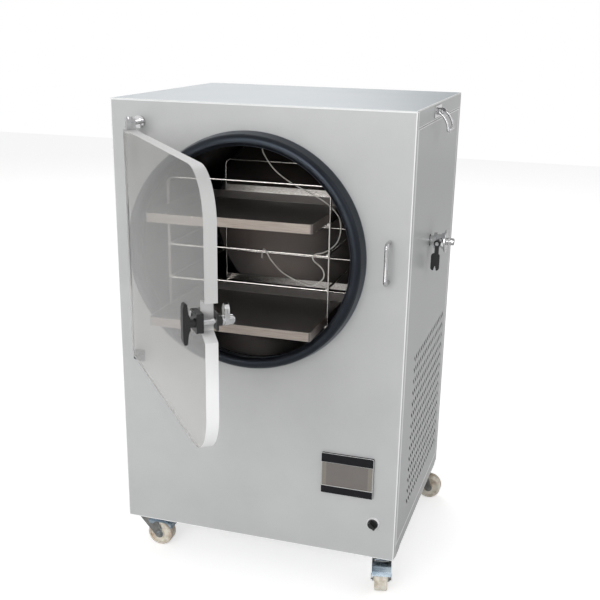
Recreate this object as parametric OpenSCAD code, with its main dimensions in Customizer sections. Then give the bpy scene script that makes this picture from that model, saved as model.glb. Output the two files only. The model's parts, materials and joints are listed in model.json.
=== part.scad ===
// Cabinet freeze dryer with a round chamber, a clear swinging door, wire shelf rack and castors.
// The origin is the centre of the cabinet's underside, +Z is up and the door faces -Y.

/* [Cabinet] */
// Width of the cabinet
cab_w = 650; // [640:5:720]
// Depth of the cabinet
cab_d = 552; // [540:4:640]
// Height of the cabinet above its underside
cab_h = 978; // [970:2:1040]
// Thickness of the sheet metal panels
sheet = 1.5; // [1:0.1:2]
// Depth of the front panel's folded sides
front_return = 20; // [14:1:26]
// Depth of the rear panel's folded sides
rear_return = 18; // [12:1:24]
// Height of the base pan's rail that shows below the side panels
rail_h = 28; // [20:1:36]
// Thickness of the base pan's floor
pan_t = 2; // [1.5:0.5:4]
// Radius of the drain hole in the middle of the base pan
pan_hole_r = 10; // [6:0.5:12]
// Height of the lid's folded sides
lid_side_h = 34.5; // [30:0.5:40]
// Gap at the seams between two panels
seam = 1; // [0.5:0.1:2]
// Leg of the frame's steel angle
angle_leg = 30; // [25:1:36]
// Thickness of the frame's steel angle
angle_t = 3; // [2:0.5:5]

/* [Vents] */
// Columns of slots in each side panel
vent_cols = 20; // [4:1:20]
// Rows of slots in each side panel
vent_rows = 14; // [3:1:14]
// Distance between columns
vent_pitch_y = 19; // [16:0.5:20]
// Distance between rows
vent_pitch_z = 27; // [22:0.5:30]
// Length of a slot over its round ends
slot_len = 22; // [12:0.5:22]
// Width of a slot
slot_w = 7; // [4:0.5:7]
// Slope of the slots
slot_slope = 45; // [30:1:60]
// Height of the middle of the vent field
vent_z = 260; // [240:1:266]
// Place of the middle of the vent field behind the cabinet's middle
vent_y = 34; // [20:1:40]

/* [Chamber] */
// Place of the chamber's axis to the right of the cabinet's middle
chamber_x = -15; // [-20:1:0]
// Distance of the chamber's axis below the cabinet's top
chamber_drop = 304; // [298:1:308]
// Inner radius of the chamber
chamber_r = 228; // [224:0.5:232]
// Wall of the chamber
chamber_t = 3; // [2:0.5:4]
// Length of the chamber's straight wall
chamber_len = 370; // [350:1:376]
// Inner radius of the dished end
dish_r = 500; // [420:5:600]
// Radius of the flange that carries the chamber on the front panel
flange_r = 264; // [262:0.5:266]
// Height of the rim that holds the gasket, ahead of the cabinet's front
rim_h = 24; // [18:1:28]
// Outer radius of the foam insulation
foam_r = 262; // [256:1:262]
// Radius of the evaporator's copper tube
coil_r = 5; // [4:0.5:5.5]
// Turns of the evaporator coil
coil_turns = 7; // [3:1:7]
// Distance between turns
coil_pitch = 50; // [40:1:50]

/* [Gasket] */
// Height of the gasket's sealing face ahead of the cabinet's front
gasket_h = 36; // [32:0.5:40]
// Outer radius of the gasket at the cabinet
gasket_r = 252; // [250:0.5:254]
// Inner radius of the gasket
gasket_in_r = 230; // [229:0.25:231]
// Radius of the gasket's rounded outer shoulder
gasket_round = 12; // [9:0.5:12]

/* [Door] */
// Width of the door
door_w = 585; // [575:1:595]
// Thickness of the clear door
door_t = 22; // [18:0.5:25]
// Reach of the door below the chamber's axis
door_below = 242; // [240:1:250]
// Reach of the door above the chamber's axis
door_above = 247; // [240:1:250]
// Radius of the two corners on the latch side
door_corner = 85; // [40:1:120]
// Bevel on the hinge side that clears the gasket as the door swings
door_bevel = 8; // [7:0.5:9]
// Gap between the shut door and the gasket
door_gap = 0.3; // [0.2:0.05:0.5]
// Angle at which the door stands open
door_open = 50.9; // [46:0.1:110]
// Distance of the hinge axis from the cabinet's left side
hinge_in = 66.5; // [64:0.5:70]
// Distance of the hinge axis from the door's edge
hinge_edge = 12; // [11:0.5:13]
// Radius of the hinge pins
hinge_pin_r = 4; // [3:0.5:4.5]

/* [Latch] */
// Distance of the latch shaft from the door's free edge
latch_edge = 15; // [13:0.5:16]
// Height of the latch shaft above the chamber's axis
latch_up = 3; // [0:1:8]
// Radius of the latch shaft
shaft_r = 6; // [5:0.5:6.5]
// Reach of the handle's bar above and below the shaft
grip_r = 35.5; // [30:0.5:42]
// Width of the handle's bar
grip_w = 14; // [12:0.5:20]
// Length of the hook's arm from the shaft
hook_len = 27; // [25:0.5:30]
// Radius of the strike bar
strike_r = 4.5; // [3.5:0.25:5]
// Height of the strike bar
strike_h = 91; // [80:1:100]
// Distance from the latch shaft to the strike bar with the door shut
strike_off = 16.2; // [15.7:0.1:17]

/* [Rack and trays] */
// Radius of the rack's rods
rod_r = 2.25; // [1.5:0.05:2.5]
// Half the distance between the rack's posts
rack_half = 170; // [166:0.5:172]
// Depth of the rack from its front posts to its rear posts
rack_depth = 285; // [270:1:300]
// Distance of the rack's front posts behind the cabinet's front
rack_in = 10; // [8:0.5:14]
// Height of the rack's top above the chamber's axis
rack_top = 148; // [140:1:149]
// Length of a tray from front to back
tray_len = 300; // [280:1:310]
// Depth of a tray
tray_h = 18.5; // [12:0.5:25]
// Thickness of a tray's sheet
tray_t = 1.2; // [0.8:0.1:2]
// Distance that the trays stand out of the cabinet
tray_out = 105; // [80:1:107]

/* [Controls] */
// Width of the touch panel
touch_w = 118.5; // [110:0.5:130]
// Height of the touch panel
touch_h = 97; // [90:0.5:105]
// Distance that the touch panel stands ahead of the cabinet
touch_t = 6; // [4:0.5:8]
// Place of the touch panel's middle to the right of the cabinet's middle
touch_x = 213.3; // [200:0.5:220]
// Height of the touch panel's middle
touch_z = 194.5; // [180:0.5:220]
// Height of the screen window
screen_h = 56; // [45:0.5:62]
// Depth of the touch panel's body behind the cabinet's front
touch_depth = 34; // [25:1:40]
// Place of the selector's axis to the right of the cabinet's middle
selector_x = 275.5; // [265:0.5:280]
// Height of the selector's axis
selector_z = 86; // [80:0.5:95]
// Radius of the selector's silver ring
selector_r = 15; // [13:0.5:17]
// Slope of the selector's grip
selector_turn = 45; // [0:1:90]

/* [Castors] */
// Radius of a wheel
wheel_r = 31; // [28:0.5:32]
// Width of a wheel
wheel_w = 30; // [24:0.5:32]
// Distance from the cabinet's underside to the floor
caster_h = 88; // [86:0.5:92]
// Distance of a wheel's axle from its swivel axis
trail = 28; // [24:0.5:30]
// Distance of the swivel axes from the cabinet's sides
caster_in_x = 35; // [34:1:50]
// Distance of the swivel axes from the cabinet's front and back
caster_in_y = 46; // [40:1:60]
// Radius of the axle bolts
axle_r = 4; // [3:0.5:5]

/* [Vacuum port] */
// Distance of the port behind the cabinet's front
port_in = 230; // [226:1:234]
// Height of the port above the chamber's axis
port_up = 8; // [0:1:10]
// Outer radius of the nipple through the side panel
nipple_r = 10.5; // [9:0.5:11]
// Length of the valve's lever
lever_len = 60; // [50:1:65]

/* [Lid handles] */
// Place of the handles behind the cabinet's middle
handle_y = -51; // [-60:1:60]
// Distance between the two legs of a handle
handle_w = 62; // [56:1:80]
// Radius of the handle's wire
wire_r = 3; // [2:0.25:3.5]

/* [Machinery] */
// Radius of the compressor's shell
comp_r = 95; // [80:1:100]
// Height of the compressor's shell
comp_h = 255; // [220:1:260]
// Width of the condenser from front to back
cond_w = 300; // [260:5:320]
// Height of the condenser
cond_h = 280; // [260:5:300]
// Radius of the fan
fan_r = 120; // [100:1:124]

/* [Hidden] */
$fn = 64;

// Overshoot that makes cuts run clear through
e = 1;
// Radial clearance of a pin or shaft that turns in its bore
run = 0.05;
// Gap between pieces that lie on or beside each other
seat = 0.3;
// How much thicker a bent wire is at its bends
bend_swell = 1.06;

// Cabinet
half_w = cab_w / 2;
front_y = -cab_d / 2;
back_y = cab_d / 2;
in_x = half_w - sheet;
in_front = front_y + sheet;
in_back = back_y - sheet;
lid_z = cab_h - sheet;
side_y0 = front_y + front_return + seam;
side_y1 = back_y - rear_return - seam;
side_z0 = rail_h + seam;
side_z1 = cab_h - lid_side_h - seam;
chamber_z = cab_h - chamber_drop;
rail_low = chamber_z - foam_r - 40;
saddle_t = 6;
saddle_in = [126, 336];

// Chamber and gasket
shell_r = chamber_r + chamber_t;
flange_t = 4;
rim_r = 234;
rim_t = 4;
mouth_r = rim_r + rim_t + 2;
chamber_end = sheet + flange_t + chamber_len;
dish_c = chamber_end - sqrt(pow(dish_r + chamber_t, 2) - pow(shell_r, 2));
dish_end = dish_c + dish_r + chamber_t;
coil_major = shell_r + seat + coil_r;
foam_in_r = coil_major + coil_r + seat;
foam_end = dish_end + 25;
port_y = front_y + port_in;
port_z = chamber_z + port_up;
first_turn = port_in - 3.5 * coil_pitch;
drain_r = 5;
drain_bore = 3.5;
drain_z = -191;
drain_depth = port_in + coil_pitch / 5;
drain_x0 = 84;
drain_x1 = 186;
feed_x = -2;
feed_depth = first_turn + coil_pitch / 2;
feed_r = 8;
feed_stem_r = 5;
feed_low = 212;

// Door, in its own frame: x runs along the door from the hinge axis, y towards the cabinet
pivot_x = -half_w + hinge_in;
pivot_y = front_y - gasket_h - door_gap - door_t / 2;
door_z0 = chamber_z - door_below;
door_z1 = chamber_z + door_above;
door_x0 = -hinge_edge;
door_x1 = door_w - hinge_edge;
latch_x = door_x1 - latch_edge;
latch_z = chamber_z + latch_up;
notch_in = 25;
notch_up = 34;
notch_down = 19;
notch_slope = 14;

// Upper hinge
clevis_t = 6;
clevis_gap = 0.4;
eye_h = 9.6;
eye_r = 8;
eye_z0 = door_z1 + clevis_t + clevis_gap;
eye_z1 = eye_z0 + eye_h;
stud_r = 5;
stud_flange_r = 13;
stud_flange_t = 6;

// Lower hinge
bracket_t = 6;
bracket_z1 = door_z0 - clevis_gap;
pin_up = 15;
pin_head_r = hinge_pin_r + 2.5;
pin_head_t = 3;

// Latch, in its own frame: y runs from the door's outer face towards the cabinet
plate_t = 3;
latch_run = 0.8;
boss_r = 9;
block_t = 12;
boss_in = 7;
inner_reach = 26;
inner_half = 15;
plate_reach = 30;
plate_half = 16.5;
strike_n0 = door_t + plate_t + latch_run;
hook_n0 = strike_n0 + 2 * strike_r + 1.2;
hook_t = 8;
hook_half = 9;
nut_t = 10;
nut_r = 8.5;
grip_n = -34;
grip_wall = 8;
stem_r = 7.75;
stem_n0 = -block_t - 0.2;
screw_r = 2.5;
screw_x = -20;
screw_z = 10;
strike_up = 6.5;
strike_x = pivot_x + latch_x - strike_off;
strike_y = front_y - (gasket_h + door_gap - plate_t - latch_run - strike_r);

// Rack and trays
level_up = [-145, -63.5, 9.5, 74];
level_z = [for (up = level_up) chamber_z + up];
rack_y0 = front_y + rack_in;
rack_y1 = rack_y0 + rack_depth;
rack_rows = [rack_y0, rack_y1];
rail_half = rack_half - 1.5 * rod_r;
rail_drop = seat + rod_r;
weld_step = 2 * rod_r - 0.6;
cross_half = rail_half + 1;
foot_r = chamber_r - rod_r * bend_swell - seat;
foot_z = chamber_z - sqrt(pow(foot_r, 2) - pow(rack_half, 2));
rack_z1 = chamber_z + rack_top;
rack_bend = 12;
tray_gap = 0.75;
tray_w = 2 * (rack_half - rod_r - tray_gap);
tray_y0 = front_y - tray_out;
tray_corner = 6;
strap_h = 16;
strap_t = 1.5;

// Touch panel and selector
touch_round = 3;
screen_side = 2;
screen_up = -1.5;
screen_t = 1.5;
screen_in = 0.4;
screen_gap = 0.3;
body_in = 5;
barrel_r = 11;
barrel_len = 16;
knob_in = 2.5;
stem_in = 11;
ring_t = 4;
knob_r = 11.5;
knob_t = 6;
knob_grip = 14;
knob_grip_w = 6;

// Castors
axle_z = wheel_r - caster_h;
swivel_r = 22;
swivel_t = 10;
mount_t = 3;
fork_t = 2.5;
fork_top = -mount_t - swivel_t - seat;
fork_half = wheel_w / 2 + 2;
kingpin_r = 5;
kingpin_head = 6;
eye_fork_r = 10;
fork_back = -21;
fork_front = 22;
pedal_pin_x = 10;
pedal_pin_z = fork_top - 10.7;
pedal_pin_r = 3;
pedal_t = 2;
caster_x = half_w - caster_in_x;
caster_y = cab_d / 2 - caster_in_y;
bolt_in_x = 26;
bolt_in_y = 20;

// Places of the castors: side, front or back, and the way that each wheel trails
caster_places = [
    [-1, -1, 0], [1, -1, -78], [-1, 1, 60], [1, 1, 0]
];

// Vacuum port
nipple_bore = 8;
nipple_out = 9;
valve_r = 15;
valve_len = 24;
stem_len = 16;
lever_gap = 28.5;
lever_t = 5;
adapter_r = 25;
adapter_t = 4;
barb_len = 16;
barb_r = 8;
barb_bore = 6;
valve_x0 = half_w + nipple_out;
valve_mid = valve_x0 + valve_len / 2;
adapter_x0 = valve_x0 + valve_len;

// Lid handles
handle_z = cab_h - 17;
handle_out = 9;
knuckle_r = 6;
knuckle_len = 9;
handle_plate_t = 2;
handle_drop = 36;
handle_slope = 30;
handle_bend = 45;
grip_tube_r = 5;
grip_tube_half = 23;

// Machinery
comp_x = -60;
comp_from_back = 216;
comp_y = back_y - comp_from_back;
comp_foot_h = 14;
cond_x0 = half_w - 93;
cond_t = 44;
cond_z0 = 20;
cond_y = vent_y;
fin_pitch = 10;
fin_t = 1.2;
tube_rows = 7;
cond_tube_r = 5;
cond_end_t = 2;
shroud_t = 2;
shroud_depth = 24;
fan_gap = 4;
hub_r = 30;
blade_count = 5;
motor_r = 36;
motor_len = 56;
fan_x = cond_x0 - shroud_t - shroud_depth / 2;
fan_z = cond_z0 + cond_h / 2;
fan_shaft_r = 4;
box_w = 200;
box_d = 90;
box_h = 230;
box_from_left = 135;
box_x = -half_w + box_from_left;
box_from_front = 126;
box_y = front_y + box_from_front;
pipe_r = 6;
pipe_up = 190;
pipe_off = 30;

gland_x = -230;
gland_z = 70;
gland_r = 10;

// Probe lead: its points, chosen by hand, from the chamber's mouth
lead_r = 1.25;
lead_points = [
    [-1, 80, 211.6], [1.5, 78.5, 198], [27, 70, 168], [65, 62, 144], [110, 54, 126], [150, 47, 108],
    [178, 43, 84], [185, 40, 56], [180, 36, 31], [167, 26, 16], [153, 17, 9], [143, 12.5, 7.4],
    [136, 7.8, 3.2], [139, 5, -6], [155, 4, -18], [162, 4, -32], [157, 4, -46], [136, 4, -60],
    [113, 4, -56], [72, 4, -37], [47, 5, -14], [36.5, 7.4, 0], [31.5, 9.8, 5.8], [26.5, 14.4, 7.5],
    [22.5, 18.8, 3.6], [20.5, 20, -4], [20, 19.5, -14]
];

// ---------------------------------------------------------------- shared shapes

// Cylinder between two points
module rod(p, q, r) {
    d = q - p;
    length = norm(d);
    translate(p)
        rotate([0, acos(d[2] / length), atan2(d[1], d[0])])
            cylinder(r = r, h = length);
}

// Wire or tube through a list of points, with a ball at each bend
module bent_rod(points, r) {
    for (i = [0 : len(points) - 2])
        rod(points[i], points[i + 1], r);
    for (i = [1 : len(points) - 2])
        translate(points[i])
            sphere(r * bend_swell, $fn = 32);
}

// Points of an arc in a plane: centre, radius, first and last angle, and number of steps
function arc(c, r, a0, a1, n) = [
    for (i = [0 : n])
        c + r * [cos(a0 + (a1 - a0) * i / n), sin(a0 + (a1 - a0) * i / n)]
];

// Cylinder along +Y from y0 to y1
module bar_y(r, y0, y1) {
    translate([0, y0, 0])
        rotate([-90, 0, 0])
            cylinder(r = r, h = y1 - y0);
}

// Cylinder along +X from x0 to x1
module bar_x(r, x0, x1) {
    translate([x0, 0, 0])
        rotate([0, 90, 0])
            cylinder(r = r, h = x1 - x0);
}

// Solid of revolution about Y from a profile of radius and depth
module turned_y() {
    rotate([-90, 0, 0])
        rotate_extrude($fn = 96)
            children();
}

// Solid of revolution about X from a profile of radius and length
module turned_x() {
    rotate([90, 0, 90])
        rotate_extrude()
            children();
}

// Flat outline in width and height, standing up and as thick as y0 to y1
module upright(y0, y1) {
    translate([0, y1, 0])
        rotate([90, 0, 0])
            linear_extrude(y1 - y0)
                children();
}

// Flat outline in depth and height, as thick as x0 to x1
module sideways(x0, x1) {
    translate([x0, 0, 0])
        rotate([90, 0, 90])
            linear_extrude(x1 - x0)
                children();
}

// Rectangle from its limits
module box2(x0, x1, y0, y1) {
    translate([x0, y0])
        square([x1 - x0, y1 - y0]);
}

// Box from its limits
module box3(x0, x1, y0, y1, z0, z1) {
    translate([x0, y0, z0])
        cube([x1 - x0, y1 - y0, z1 - z0]);
}

// Rectangle about its middle, with round corners
module round_rect(w, h, r) {
    square([w - 2 * r, h], center = true);
    square([w, h - 2 * r], center = true);
    for (x = [-1, 1], y = [-1, 1])
        translate([x * (w / 2 - r), y * (h / 2 - r)])
            circle(r);
}

// The chamber's place: y runs into the chamber from the cabinet's front
module at_chamber() {
    translate([chamber_x, front_y, chamber_z])
        children();
}

// The door's own frame
module at_door() {
    translate([pivot_x, pivot_y, 0])
        rotate([0, 0, -door_open])
            children();
}

// The latch's own frame on the door
module at_latch() {
    at_door()
        translate([latch_x, -door_t / 2, latch_z])
            children();
}

// ---------------------------------------------------------------- cabinet

// Steel angle along Z with its corner at the origin and its legs along +X and +Y
module angle_up(z0, z1) {
    box3(0, angle_leg, 0, angle_t, z0, z1);
    box3(0, angle_t, 0, angle_leg, z0, z1);
}

// Rails of the frame at one height: the upright leg outwards, the flat leg on top
module frame_ring(z) {
    inner_d = in_back - in_front;
    for (s = [-1, 1]) {
        box3(min(s * in_x, s * (in_x - angle_t)), max(s * in_x, s * (in_x - angle_t)),
            in_front, in_back, z - angle_leg, z);
        box3(min(s * in_x, s * (in_x - angle_leg)), max(s * in_x, s * (in_x - angle_leg)),
            in_front, in_back, z - angle_t, z);
    }
    for (s = [0, 1]) {
        box3(-in_x, in_x, in_front + s * (inner_d - angle_t), in_front + s * (inner_d - angle_t) + angle_t,
            z - angle_leg, z);
        box3(-in_x, in_x, in_front + s * (inner_d - angle_leg),
            in_front + s * (inner_d - angle_leg) + angle_leg, z - angle_t, z);
    }
}

// Plate that carries the chamber, cut to the foam's radius
module saddle(y) {
    upright(y, y + saddle_t)
        difference() {
            box2(-in_x + angle_t, in_x - angle_t, rail_low + angle_leg - angle_t, chamber_z - foam_r + 90);
            translate([chamber_x, chamber_z])
                circle(foam_r + seat, $fn = 96);
        }
}

module cabinet_frame() {
    color("dimgray") {
        for (s = [0, 1], t = [0, 1])
            mirror([s, 0, 0])
                mirror([0, t, 0])
                    translate([-in_x, in_front, 0])
                        angle_up(pan_t, lid_z);
        frame_ring(pan_t + angle_leg);
        frame_ring(rail_low + angle_leg);
        frame_ring(lid_z);
        for (y = saddle_in)
            saddle(front_y + y);
    }
}

module base_pan() {
    color("gainsboro") {
        linear_extrude(pan_t)
            difference() {
                union() {
                    box2(-half_w, half_w, side_y0, side_y1);
                    box2(-in_x + seat, in_x - seat, in_front, in_back);
                }
                circle(pan_hole_r, $fn = 64);
            }
        for (s = [0, 1])
            mirror([s, 0, 0])
                box3(in_x, half_w, side_y0, side_y1, 0, rail_h);
    }
}

// Panel with its two sides folded back, standing on the floor of the cabinet
module folded_panel(depth, height) {
    difference() {
        box3(-half_w, half_w, 0, depth, 0, height);
        box3(-in_x, in_x, sheet, depth + e, -e, height + e);
    }
}

module front_panel() {
    color("gainsboro")
        difference() {
            translate([0, front_y, 0])
                folded_panel(front_return, lid_z);
            translate([chamber_x, front_y, chamber_z])
                bar_y(mouth_r, -e, sheet + e);
            translate([touch_x, 0, touch_z])
                upright(front_y - e, in_front + e)
                    round_rect(touch_w - 2 * (body_in - seat), touch_h - 2 * (body_in - seat), touch_round);
            translate([selector_x, front_y, selector_z])
                bar_y(barrel_r + seat, -e, sheet + e);
        }
}

module rear_panel() {
    color("gainsboro")
        difference() {
            translate([0, back_y, 0])
                mirror([0, 1, 0])
                    folded_panel(rear_return, lid_z);
            translate([gland_x, back_y, gland_z])
                bar_y(gland_r + seat, -sheet - e, e);
        }
}

// One sloping slot of the vent field
module slot() {
    rotate(-slot_slope) {
        square([slot_len - slot_w, slot_w], center = true);
        for (s = [-1, 1])
            translate([s * (slot_len - slot_w) / 2, 0])
                circle(slot_w / 2, $fn = 24);
    }
}

module vent_field() {
    for (i = [0 : vent_cols - 1], j = [0 : vent_rows - 1])
        translate([vent_y + (i - (vent_cols - 1) / 2) * vent_pitch_y,
                vent_z + (j - (vent_rows - 1) / 2) * vent_pitch_z])
            slot();
}

module right_panel() {
    color("gainsboro")
        difference() {
            sideways(in_x, half_w)
                difference() {
                    box2(side_y0, side_y1, side_z0, side_z1);
                    vent_field();
                }
            translate([0, port_y, port_z])
                bar_x(nipple_r + 3, in_x - e, half_w + e);
        }
}

module left_panel() {
    color("gainsboro")
        sideways(-half_w, -in_x)
            difference() {
                box2(side_y0, side_y1, side_z0, side_z1);
                vent_field();
            }
}

module top_cover() {
    color("lightsteelblue") {
        box3(-half_w, half_w, front_y, back_y, lid_z, cab_h);
        for (s = [0, 1])
            mirror([s, 0, 0])
                box3(in_x, half_w, side_y0, side_y1, cab_h - lid_side_h, cab_h);
    }
}

// Round-head screws down both edges of the rear panel, into the frame's uprights
module panel_screws() {
    head_r = 4.5;
    head_t = 2.4;
    dome_r = 5.5;
    first = 60;
    gaps = 5;
    for (s = [-1, 1], z = [first : (lid_z - 2 * first) / gaps : lid_z - first + 1])
        color("silver")
            translate([s * (in_x - angle_leg / 2), back_y, z])
                turned_y()
                    intersection() {
                        box2(0, head_r, 0, head_t);
                        translate([0, head_t - dome_r])
                            circle(dome_r);
                    }
}

// ---------------------------------------------------------------- chamber

// Straight wall and dished end, as radius and depth
module chamber_outline(r, end, dish) {
    box2(0, r, sheet - rim_h - e, end);
    intersection() {
        box2(0, r, end - e, dish_end + e);
        translate([0, dish_c])
            circle(dish, $fn = 192);
    }
}

module chamber_shell() {
    color("silver")
        at_chamber()
            difference() {
                turned_y()
                    difference() {
                        union() {
                            intersection() {
                                chamber_outline(shell_r, chamber_end, dish_r + chamber_t);
                                box2(0, shell_r, sheet, dish_end + e);
                            }
                            box2(chamber_r, flange_r, sheet, sheet + flange_t);
                            box2(rim_r, rim_r + rim_t, -rim_h, sheet + e);
                        }
                        chamber_outline(chamber_r, chamber_end, dish_r);
                    }
                translate([0, port_in, port_up])
                    bar_x(nipple_bore, 0, shell_r + e);
                translate([0, drain_depth, drain_z])
                    bar_x(drain_r + seat, drain_x0, shell_r + e);
                translate([feed_x, feed_depth, 0])
                    cylinder(r = feed_stem_r + seat, h = shell_r + e);
            }
}

module chamber_insulation() {
    color("khaki")
        at_chamber()
            difference() {
                turned_y()
                    difference() {
                        box2(0, foam_r, sheet + flange_t, foam_end);
                        box2(0, foam_in_r, sheet + flange_t - e, dish_end + seat);
                    }
                translate([0, port_in, port_up])
                    bar_x(nipple_r + seat, 0, foam_r + e);
                translate([0, drain_depth, drain_z])
                    bar_x(drain_r + seat, 0, foam_r + e);
                translate([feed_x, feed_depth, 0])
                    cylinder(r = feed_stem_r + seat, h = foam_r + e);
            }
}

// Turns of copper tube round the chamber, joined by crossovers on alternate sides
module evaporator_coil() {
    color("peru")
        at_chamber() {
            for (i = [0 : coil_turns - 1])
                turned_y()
                    translate([coil_major, first_turn + i * coil_pitch])
                        circle(coil_r);
            for (i = [0 : coil_turns - 2])
                rotate([0, i % 2 == 0 ? -20 : 20, 0])
                    translate([0, 0, -coil_major])
                        bar_y(coil_r - 1, first_turn + i * coil_pitch, first_turn + (i + 1) * coil_pitch);
        }
}

// Section of the gasket as radius and height ahead of the cabinet: it sits over the chamber's rim
module gasket_section() {
    lip_round = 3;
    flat_w = 3;
    foot_h = 4;
    shoulder = [gasket_in_r + lip_round + flat_w, gasket_h - gasket_round];
    d = [gasket_r, foot_h] - shoulder;
    tangent = atan2(d[1], d[0]) + acos(gasket_round / norm(d));
    groove = 0.2;
    difference() {
        union() {
            polygon([
                [gasket_in_r, -sheet], [mouth_r - seat, -sheet], [mouth_r - seat, 0], [gasket_r, 0],
                [gasket_r, foot_h], shoulder + gasket_round * [cos(tangent), sin(tangent)], shoulder,
                [shoulder[0], gasket_h], [gasket_in_r + lip_round, gasket_h],
                [gasket_in_r, gasket_h - lip_round]
            ]);
            translate([gasket_in_r + lip_round, gasket_h - lip_round])
                circle(lip_round);
            translate(shoulder)
                circle(gasket_round);
        }
        box2(rim_r - groove, rim_r + rim_t + groove, -sheet - e, rim_h + seat);
    }
}

module door_gasket() {
    color("black")
        at_chamber()
            rotate([90, 0, 0])
                rotate_extrude($fn = 96)
                    gasket_section();
}

// Drain through the chamber's lower right wall
module drain_tube() {
    color("silver")
        at_chamber()
            translate([0, drain_depth, drain_z])
                difference() {
                    bar_x(drain_r, drain_x0, drain_x1);
                    bar_x(drain_bore, drain_x0 - e, drain_x1 + e);
                }
}

// Sealed feedthrough for the probe lead in the top of the chamber
module feedthrough() {
    wall_z = sqrt(pow(chamber_r, 2) - pow(feed_r + abs(feed_x), 2)) - seat / 2;
    color("silver")
        at_chamber()
            translate([feed_x, feed_depth, 0]) {
                translate([0, 0, feed_low])
                    cylinder(r = feed_r, h = wall_z - feed_low, $fn = 6);
                translate([0, 0, feed_low])
                    cylinder(r = feed_stem_r, h = foam_r + 4 - feed_low);
            }
}

// Tube swept along a list of points, as one closed surface
function unit(v) = v / norm(v);
function heading(p, i) = unit(p[min(i + 1, len(p) - 1)] - p[max(i - 1, 0)]);
function across(t) = unit(cross(t, abs(t[0]) < 0.9 ? [1, 0, 0] : [0, 1, 0]));
function mid_points(p, n) = [
    for (i = [0 : len(p) - 2], k = [0 : n - 1])
        let (
            a = p[max(i - 1, 0)],
            b = p[i],
            c = p[i + 1],
            d = p[min(i + 2, len(p) - 1)],
            t = k / n
        )
        0.5 * (2 * b + (c - a) * t + (2 * a - 5 * b + 4 * c - d) * t * t
            + (3 * b - a - 3 * c + d) * t * t * t),
    p[len(p) - 1]
];

module swept_tube(p, r, sides) {
    rings = [
        for (i = [0 : len(p) - 1])
            let (t = heading(p, i), u = across(t), v = cross(t, u))
            for (k = [0 : sides - 1])
                p[i] + r * cos(360 * k / sides) * u + r * sin(360 * k / sides) * v
    ];
    walls = [
        for (i = [0 : len(p) - 2], k = [0 : sides - 1])
            let (a = i * sides + k, b = i * sides + (k + 1) % sides)
            [a, a + sides, b + sides, b]
    ];
    first = [for (k = [0 : sides - 1]) k];
    last = [for (k = [sides - 1 : -1 : 0]) (len(p) - 1) * sides + k];
    polyhedron(points = rings, faces = concat(walls, [first, last]), convexity = 10);
}

module probe_lead() {
    color("white")
        at_chamber()
            swept_tube(mid_points(lead_points, 3), lead_r, 8);
}

// ---------------------------------------------------------------- rack and trays

// Wire frame with rounded top corners, in width and height
module rack_hoop(y) {
    corner = [rack_half - rack_bend, rack_z1 - rack_bend];
    bend = arc(corner, rack_bend, 0, 90, 3);
    half = concat([[rack_half, foot_z]], bend);
    translate([chamber_x, y, 0]) {
        bent_rod(concat(
            [for (p = half) [p[0], 0, p[1]]],
            [for (i = [len(half) - 1 : -1 : 0]) [-half[i][0], 0, half[i][1]]]
        ), rod_r);
        for (s = [-1, 1])
            translate([s * rack_half, 0, foot_z])
                sphere(rod_r * bend_swell, $fn = 32);
    }
}

// Front and rear hoops, side rails welded inside the posts and cross rods under the rails
module shelf_rack() {
    color("silver") {
        for (y = rack_rows)
            rack_hoop(y);
        for (z = level_z, s = [-1, 1])
            translate([chamber_x + s * rail_half, 0, z - rail_drop])
                bar_y(rod_r, rack_y0 - 1, rack_y1 + 1);
        for (z = level_z, y = [rack_y0 + weld_step, rack_y1 - weld_step])
            rod([chamber_x - cross_half, y, z - rail_drop - weld_step],
                [chamber_x + cross_half, y, z - rail_drop - weld_step], rod_r);
        for (z = [level_z[0], level_z[3]])
            box3(chamber_x - rack_half, chamber_x + rack_half,
                rack_y1 - rod_r - strap_t, rack_y1 - rod_r / 2, z, z + strap_h);
    }
}

// Open tray of folded sheet, with its underside at z = 0
module tray() {
    color("tan")
        translate([chamber_x, tray_y0 + tray_len / 2, 0])
            difference() {
                linear_extrude(tray_h)
                    round_rect(tray_w, tray_len, tray_corner);
                translate([0, 0, tray_t])
                    linear_extrude(tray_h)
                        round_rect(tray_w - 2 * tray_t, tray_len - 2 * tray_t, tray_corner - tray_t);
            }
}

module tray_upper() {
    translate([0, 0, level_z[3]])
        tray();
}

module tray_lower() {
    translate([0, 0, level_z[0]])
        tray();
}

// ---------------------------------------------------------------- door and hinges

// The door's outline: square corners at the hinge, round ones and a notch on the latch side
module door_outline() {
    difference() {
        union() {
            box2(door_x0, door_x1 - door_corner, door_z0, door_z1);
            box2(door_x0, door_x1, door_z0 + door_corner, door_z1 - door_corner);
            for (z = [door_z0 + door_corner, door_z1 - door_corner])
                translate([door_x1 - door_corner, z])
                    circle(door_corner, $fn = 96);
        }
        polygon([
            [door_x1 - notch_in, latch_z - notch_down], [door_x1 + e, latch_z - notch_down - notch_slope],
            [door_x1 + e, latch_z + notch_up], [door_x1 - notch_in, latch_z + notch_up]
        ]);
    }
}

module door_panel() {
    color("white", 0.4)
        at_door()
            difference() {
                upright(-door_t / 2, door_t / 2)
                    door_outline();
                translate([door_x0, door_t / 2, 0])
                    linear_extrude(door_z1 + e)
                        polygon([[-e, e], [-e, -door_bevel - e], [door_bevel + e, e]]);
                translate([0, 0, door_z0 - e])
                    cylinder(r = hinge_pin_r + run, h = pin_up + 1 + e);
                for (s = [-1, 1])
                    translate([latch_x + screw_x, 0, latch_z + s * screw_z])
                        bar_y(screw_r + run, -door_t / 2 - e, door_t / 2 + e);
            }
}

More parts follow.
